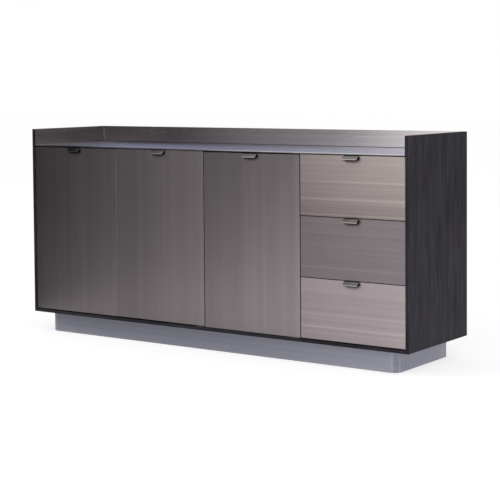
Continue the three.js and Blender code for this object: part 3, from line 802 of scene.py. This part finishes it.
class CREDENZA_OT_fittings(bpy.types.Operator):
    """Finishes the door pivots and catches with their screws, magnets and strike plates"""
    bl_idname = "credenza.fittings"
    bl_label = "Pivots and Catches"

    def execute(self, context):
        sizes = context.scene.credenza_sizes
        steel = plain_steel("Plain fitting steel", "#77777b", 0.38)
        plastic = moulded_plastic("Moulded black ABS", "#1d1d1f")
        for name in DOORS:
            for level in ("upper", "lower"):
                node = f"{name}_{level}_pivot"
                dress_eased(node, sizes.fitting_ease, [steel], smooth=True)
            self.pivot_screws(name, SMALL_SCREW * sizes.screw_head)
            dress_eased(f"{name}_catch", sizes.board_ease, [plastic])
            self.catch_metal(name, steel, FINE_EASE * sizes.fitting_ease)
        return {"FINISHED"}

    def pivot_screws(self, name, diameter):
        """Screws the two pivots of a door to the carcass"""
        low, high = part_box(f"{name}_lower_pivot")
        places = [(x, (low.y + high.y) / 2, low.z + LEAF)
                  for x in (low.x + LEAF_SCREW_INSET, high.x - LEAF_SCREW_INSET)]
        screws(f"{name}_lower_pivot_screws", places, UP, diameter, CARCASS)
        low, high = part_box(f"{name}_upper_pivot")
        places = [(x, high.y - TAB, high.z - TAB_SCREW_DROP)
                  for x in (low.x + TAB_SCREW_INSET, high.x - TAB_SCREW_INSET)]
        screws(f"{name}_upper_pivot_screws", places, FORWARD, diameter, CARCASS)

    def catch_metal(self, name, steel, width):
        """Sets two magnets in the catch of a door, and in the door the strike plate that they hold"""
        low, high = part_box(f"{name}_catch")
        middle = (low + high) / 2
        shape = bmesh.new()
        for side in (LEFT, RIGHT):
            centre = Vector((middle.x, low.y, middle.z)) + side * MAGNET_SPACING / 2
            add_board(shape, centre - MAGNET_HALF + FORWARD * MAGNET_PROUD,
                      centre + MAGNET_HALF + BACKWARD * MAGNET_SUNK, width)
        finished(shape, f"{name}_magnets", [steel], CARCASS)
        shape = bmesh.new()
        centre = Vector((middle.x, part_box(f"{name}_core")[1].y, middle.z))
        add_board(shape, centre - STRIKE_HALF + FORWARD * STRIKE_SUNK,
                  centre + STRIKE_HALF + BACKWARD * STRIKE_PROUD, width)
        finished(shape, f"{name}_strike_plate", [steel], name)


class CREDENZA_OT_drawer_boxes(bpy.types.Operator):
    """Builds each drawer box from plywood boards"""
    bl_idname = "credenza.drawer_boxes"
    bl_label = "Drawer Boxes"

    def execute(self, context):
        sizes = context.scene.credenza_sizes
        birch = context.scene.credenza_colours.birch
        long_face = birch_face("Lacquered birch plywood", birch, "Y")
        side_edge = birch_edge("Birch plywood edge of a side", birch, "X")
        end_edge = birch_edge("Birch plywood edge of an end", birch, "Y")
        wall = sizes.box_wall
        for name in DRAWERS:
            low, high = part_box(f"{name}_box")
            shape = bmesh.new()
            inner_low = Vector((low.x + wall, low.y + wall, low.z + sizes.box_raise))
            inner_high = Vector((high.x - wall, high.y - wall, inner_low.z + sizes.box_bottom))
            sides = [(Vector((left, low.y, low.z)), Vector((right, high.y, high.z)), 1)
                     for left, right in ((low.x, inner_low.x), (inner_high.x, high.x))]
            ends = [(Vector((inner_low.x, front, low.z)), Vector((inner_high.x, rear, high.z)), 2)
                    for front, rear in ((low.y, inner_low.y), (inner_high.y, high.y))]
            for corner, far_corner, edge_index in sides + ends:
                for face in add_board(shape, corner, far_corner, sizes.board_ease):
                    if abs(face.normal.z) > FACING:
                        face.material_index = edge_index
            add_board(shape, inner_low, inner_high, sizes.fitting_ease)
            dress(shape, f"{name}_box", [long_face, side_edge, end_edge])
        return {"FINISHED"}


class CREDENZA_OT_runners(bpy.types.Operator):
    """Finishes the runners and slides of the drawers with their screws"""
    bl_idname = "credenza.runners"
    bl_label = "Drawer Runners"

    def execute(self, context):
        sizes = context.scene.credenza_sizes
        for name in DRAWERS:
            for side, inward in (("left", RIGHT), ("right", LEFT)):
                self.screwed(f"{name}_{side}_runner", sizes, inward, RUNNER_SCREW_INSET, CARCASS)
                self.screwed(f"{name}_{side}_slide", sizes, -inward, SLIDE_SCREW_INSET, name)
        return {"FINISHED"}

    def screwed(self, node, sizes, facing, inset, body):
        """Finishes a runner or a slide and sets three screws in it, whose heads face a side"""
        dress_eased(node, sizes.fitting_ease, [zinc_plated_steel()])
        low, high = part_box(node)
        middle = (low + high) / 2
        rear = low.x if facing.x > 0 else high.x
        web = rear + facing.x * RUNNER_WEB
        places = [(web, y, middle.z) for y in (low.y + inset, middle.y, high.y - inset)]
        screws(f"{node}_screws", places, facing, SMALL_SCREW * sizes.screw_head, body)


class CREDENZA_OT_back_screws(bpy.types.Operator):
    """Screws the back panel to the bottom panel, the top panel and the partitions"""
    bl_idname = "credenza.back_screws"
    bl_label = "Back Screws"

    def execute(self, context):
        sizes = context.scene.credenza_sizes
        low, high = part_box("back_panel")
        top_low, top_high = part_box("top_panel")
        bottom_low, bottom_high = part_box("bottom_panel")
        count = 8
        inset = 60 * MM
        step = (high.x - low.x - 2 * inset) / (count - 1)
        rows = ((top_low.z + top_high.z) / 2, (bottom_low.z + bottom_high.z) / 2)
        places = [(low.x + inset + index * step, high.y, z) for index in range(count) for z in rows]
        for node in ("left_partition", "right_partition"):
            node_low, node_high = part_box(node)
            middle = (node_low + node_high) / 2
            places.append((middle.x, high.y, middle.z))
        screws("back_panel_screws", places, BACKWARD, sizes.screw_head, CARCASS)
        return {"FINISHED"}


# Light of the surroundings and the floor
WHITE = (1, 1, 1, 1)
AMBIENT = 0.7  # the strength at which the surroundings light the object
FLOOR_SPAN = 60
FLOOR_PALE = (0.8, 0.8, 0.8, 1)  # the colour with which the floor lights the object
FLOOR_SHADED = (0.46, 0.46, 0.46, 1)  # the part of the floor's white that a shadow takes away
FLOOR_GLOW = 0.67  # the part that it leaves

# Lamps: the place, the watts and the span of each, and the point that they face
LAMP_TARGET = Vector((0, 0, 0.45))
LAMPS = (
    ("key_lamp", Vector((-2.4, -3.4, 3.2)), 60, 2.0),
    ("fill_lamp", Vector((3.4, -1.8, 2.8)), 30, 2.5),
)

# The camera's place in metres, its angles in radians, and its lens in millimetres
CAMERA_PLACE = Vector((3.3402, -4.6412, 1.0506))
CAMERA_YAW = 0.6142
CAMERA_PITCH = 0.0517
CAMERA_ROLL = 0.0077
CAMERA_LENS = 103.44
CAMERA_SHIFT = -0.19

# Cloths that only gloss shows: two opposite corners of each, the axis along which its colour changes,
# where that starts and ends on the axis, and the colours at the start and the end
SCREENS = (
    ("left_tall_screen", (-1.0, -1.5, 0.06), (-1.0, -0.22, 2.1), "Y", (-0.3, -1.2), "#262427", "#706e6f"),
    ("left_middle_screen", (-1.0, -2.3, 0.06), (-1.0, -1.5, 0.66), "Z", (0.66, 0.06), "#4a4849", "#6a6869"),
    ("left_high_screen", (-1.0, -2.3, 0.66), (-1.0, -1.5, 2.1), "Y", (-1.5, -2.3), "#7c7a7b", "#7c7a7b"),
    ("left_low_screen", (-1.0, -4.2, 0.06), (-1.0, -2.3, 1.0), "Y", (-2.3, -3.9), "#b0aeaf", "#ffffff"),
    ("floor_cloth", (-1.0, -1.8, 0.004), (0.3, -0.65, 0.004), "X", (-1.0, -0.4), "#a4a2a3", "#ffffff"),
    ("near_cloth", (-1.1, -0.65, 0.004), (0.72, -0.25, 0.004), "X", (-1.0, 0.7), "#8e8c8d", "#d7d5d5"),
    ("left_rear_low_screen", (-1.0, -0.22, 0.06), (-1.0, 1.3, 1.3), "Y", (0.0, 0.5), "#262427", "#a6a9bf"),
    ("left_rear_high_screen", (-1.0, -0.22, 1.3), (-1.0, 1.3, 2.7), "Y", (-0.2, 1.3), "#76788c", "#76788c"),
    ("overhead_screen", (-1.0, -0.5, 2.4), (0.6, 0.7, 2.4), "X", (-1.0, 0.6), "#a5a3a4", "#dedcdd"),
    ("rear_left_screen", (-3.0, 1.3, 0.3), (-1.3, 1.3, 3.0), "X", (-3.0, -1.3), "#b6b8d2", "#b6b8d2"),
    ("rear_screen", (-1.3, 1.3, 0.3), (0.14, 1.3, 3.0), "X", (-1.0, 0.2), "#9294aa", "#dedee8"),
    ("rear_dark_screen", (0.14, 1.3, 0.02), (3.5, 1.3, 3.0), "X", (0.14, 1.2), "#d2d2dc", "#a6a4a8"),
    ("front_screen", (1.7, -5.4, 0), (6.0, -5.4, 4.0), "X", (1, 6), "#8b898b", "#8b898b"),
    ("gallery_screen", (1.4, -3.0, 0.4), (3.1, -3.0, 1.2), "X", (1, 3), "#1f1e1f", "#1f1e1f"),
    ("right_screen", (6.0, -5.4, 0), (6.0, -0.2, 4.0), "Y", (-5, 0), "#858385", "#858385"),
)
PALE_HEM = 0.5  # the height below which the cloths get paler towards the floor
HEM_SHARE = 0.12  # how much of their hem is white


class CREDENZA_OT_stage(bpy.types.Operator):
    """Sets the white floor and surroundings, the cloths that gloss shows, the studio lamps and the camera"""
    bl_idname = "credenza.stage"
    bl_label = "Stage"

    def execute(self, context):
        scene = context.scene
        scene.view_settings.view_transform = "Standard"
        set_world(scene)
        set_floor()
        set_screens()
        set_lamps(scene)
        set_camera(scene)
        return {"FINISHED"}


def seen_directly(tree):
    """1 for the rays that show the surroundings themselves, in the view or in gloss and glass"""
    rays = add_node(tree, "LightPath").outputs
    either = add_node(tree, "Math", {
        0: rays["Is Camera Ray"], 1: rays["Is Glossy Ray"]}, operation="MAXIMUM").outputs[0]
    return add_node(tree, "Math", {
        0: either, 1: rays["Is Transmission Ray"]}, operation="MAXIMUM").outputs[0]


def on_stage(shape, name, material):
    """Makes the shape an object that isn't part of the credenza"""
    thing = new_object(shape, name, [material])
    return thing


def set_world(scene):
    """White surroundings, which light the object at a plain level"""
    world = bpy.data.worlds.new("White studio")
    world.use_nodes = True
    tree = world.node_tree
    tree.nodes.clear()
    shown = add_node(tree, "Background", {"Color": WHITE, "Strength": 1})
    light = add_node(tree, "Background", {"Color": WHITE, "Strength": AMBIENT})
    mix = add_node(tree, "MixShader", {
        0: seen_directly(tree), 1: light.outputs[0], 2: shown.outputs[0]})
    add_node(tree, "OutputWorld", {"Surface": mix.outputs[0]})
    scene.world = world


def set_floor():
    """A pale floor that shows white where no shadow falls"""
    shape = bmesh.new()
    bmesh.ops.create_grid(shape, x_segments=1, y_segments=1, size=FLOOR_SPAN / 2)
    material, tree = new_material("Pale studio floor")
    plain = add_node(tree, "BsdfDiffuse", {"Color": FLOOR_PALE})
    lit = add_node(tree, "BsdfDiffuse", {"Color": FLOOR_SHADED})
    glow = add_node(tree, "Emission", {"Color": WHITE, "Strength": FLOOR_GLOW})
    shown = add_node(tree, "AddShader", {0: lit.outputs[0], 1: glow.outputs[0]})
    mix = add_node(tree, "MixShader", {
        0: seen_directly(tree), 1: plain.outputs[0], 2: shown.outputs[0]})
    add_node(tree, "OutputMaterial", {"Surface": mix.outputs[0]})
    on_stage(shape, "floor", material)


def set_screens():
    """Dark and pale cloths round, under and over the object, which only its gloss reflects"""
    for name, low, high, axis, (start, end), first, last in SCREENS:
        low = Vector(low)
        high = Vector(high)
        drawn = UP * (high.z - low.z) if high.z > low.z else BACKWARD * (high.y - low.y)
        shape = drawn_sheet((low, high - drawn), drawn)
        material, tree = new_material(f"Cloth of the {name.replace('_', ' ')}")
        change = add_node(tree, "MapRange", {
            "Value": place_on(tree, axis), "From Min": start, "From Max": end}).outputs["Result"]
        hem = add_node(tree, "MapRange", {
            "Value": place_on(tree, "Z"), "From Min": PALE_HEM, "From Max": 0}).outputs["Result"]
        cloth = laid_over(tree, shaded(linear(first), 1), shaded(linear(last), 1), change)
        cloth = laid_over(tree, cloth, WHITE, hem, share=HEM_SHARE)
        glow = add_node(tree, "Emission", {"Color": cloth, "Strength": 1})
        add_node(tree, "OutputMaterial", {"Surface": glow.outputs[0]})
        screen = on_stage(shape, name, material)
        screen.visible_camera = False
        screen.visible_diffuse = False
        screen.visible_shadow = False


def set_lamps(scene):
    """Soft lamps that gloss doesn't show: one from the left and a weaker one from the right"""
    for name, place, watts, span in LAMPS:
        light = bpy.data.lights.new(name, "AREA")
        light.energy = watts
        light.size = span
        lamp = bpy.data.objects.new(name, light)
        lamp.location = place
        lamp.visible_glossy = False
        lamp.rotation_euler = (LAMP_TARGET - place).to_track_quat("-Z", "Y").to_euler()
        scene.collection.objects.link(lamp)


def set_camera(scene):
    """The camera at the photograph's viewing angle"""
    data = bpy.data.cameras.new("camera")
    data.lens = CAMERA_LENS
    data.shift_y = CAMERA_SHIFT
    camera = bpy.data.objects.new("camera", data)
    turn = Matrix.Rotation(CAMERA_YAW, 4, "Z") @ Matrix.Rotation(math.pi / 2 - CAMERA_PITCH, 4, "X")
    camera.matrix_world = Matrix.Translation(CAMERA_PLACE) @ turn @ Matrix.Rotation(-CAMERA_ROLL, 4, "Z")
    scene.collection.objects.link(camera)
    scene.camera = camera


OPERATORS = (
    CREDENZA_OT_boards,
    CREDENZA_OT_gallery,
    CREDENZA_OT_plinth,
    CREDENZA_OT_fronts,
    CREDENZA_OT_pulls,
    CREDENZA_OT_fittings,
    CREDENZA_OT_drawer_boxes,
    CREDENZA_OT_runners,
    CREDENZA_OT_back_screws,
    CREDENZA_OT_stage,
)


class CREDENZA_PT_panel(bpy.types.Panel):
    """Lists the sizes and colours, and the steps that dress the credenza"""
    bl_idname = "CREDENZA_PT_panel"
    bl_label = "Office Credenza"
    bl_space_type = "VIEW_3D"
    bl_region_type = "UI"
    bl_category = "Credenza"

    def draw(self, context):
        for group in (context.scene.credenza_sizes, context.scene.credenza_colours):
            for name in group.__annotations__:
                self.layout.prop(group, name)
        for operator in OPERATORS:
            self.layout.operator(operator.bl_idname)


CLASSES = (CredenzaSizes, CredenzaColours) + OPERATORS + (CREDENZA_PT_panel,)


def register():
    for item in CLASSES:
        bpy.utils.register_class(item)
    bpy.types.Scene.credenza_sizes = bpy.props.PointerProperty(type=CredenzaSizes)
    bpy.types.Scene.credenza_colours = bpy.props.PointerProperty(type=CredenzaColours)


def unregister():
    del bpy.types.Scene.credenza_colours
    del bpy.types.Scene.credenza_sizes
    for item in reversed(CLASSES):
        bpy.utils.unregister_class(item)


def main():
    """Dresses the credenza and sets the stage"""
    register()
    bpy.ops.credenza.boards()
    bpy.ops.credenza.gallery()
    bpy.ops.credenza.plinth()
    bpy.ops.credenza.fronts()
    bpy.ops.credenza.pulls()
    bpy.ops.credenza.fittings()
    bpy.ops.credenza.drawer_boxes()
    bpy.ops.credenza.runners()
    bpy.ops.credenza.back_screws()
    bpy.ops.credenza.stage()


if __name__ == "__main__":
    main()
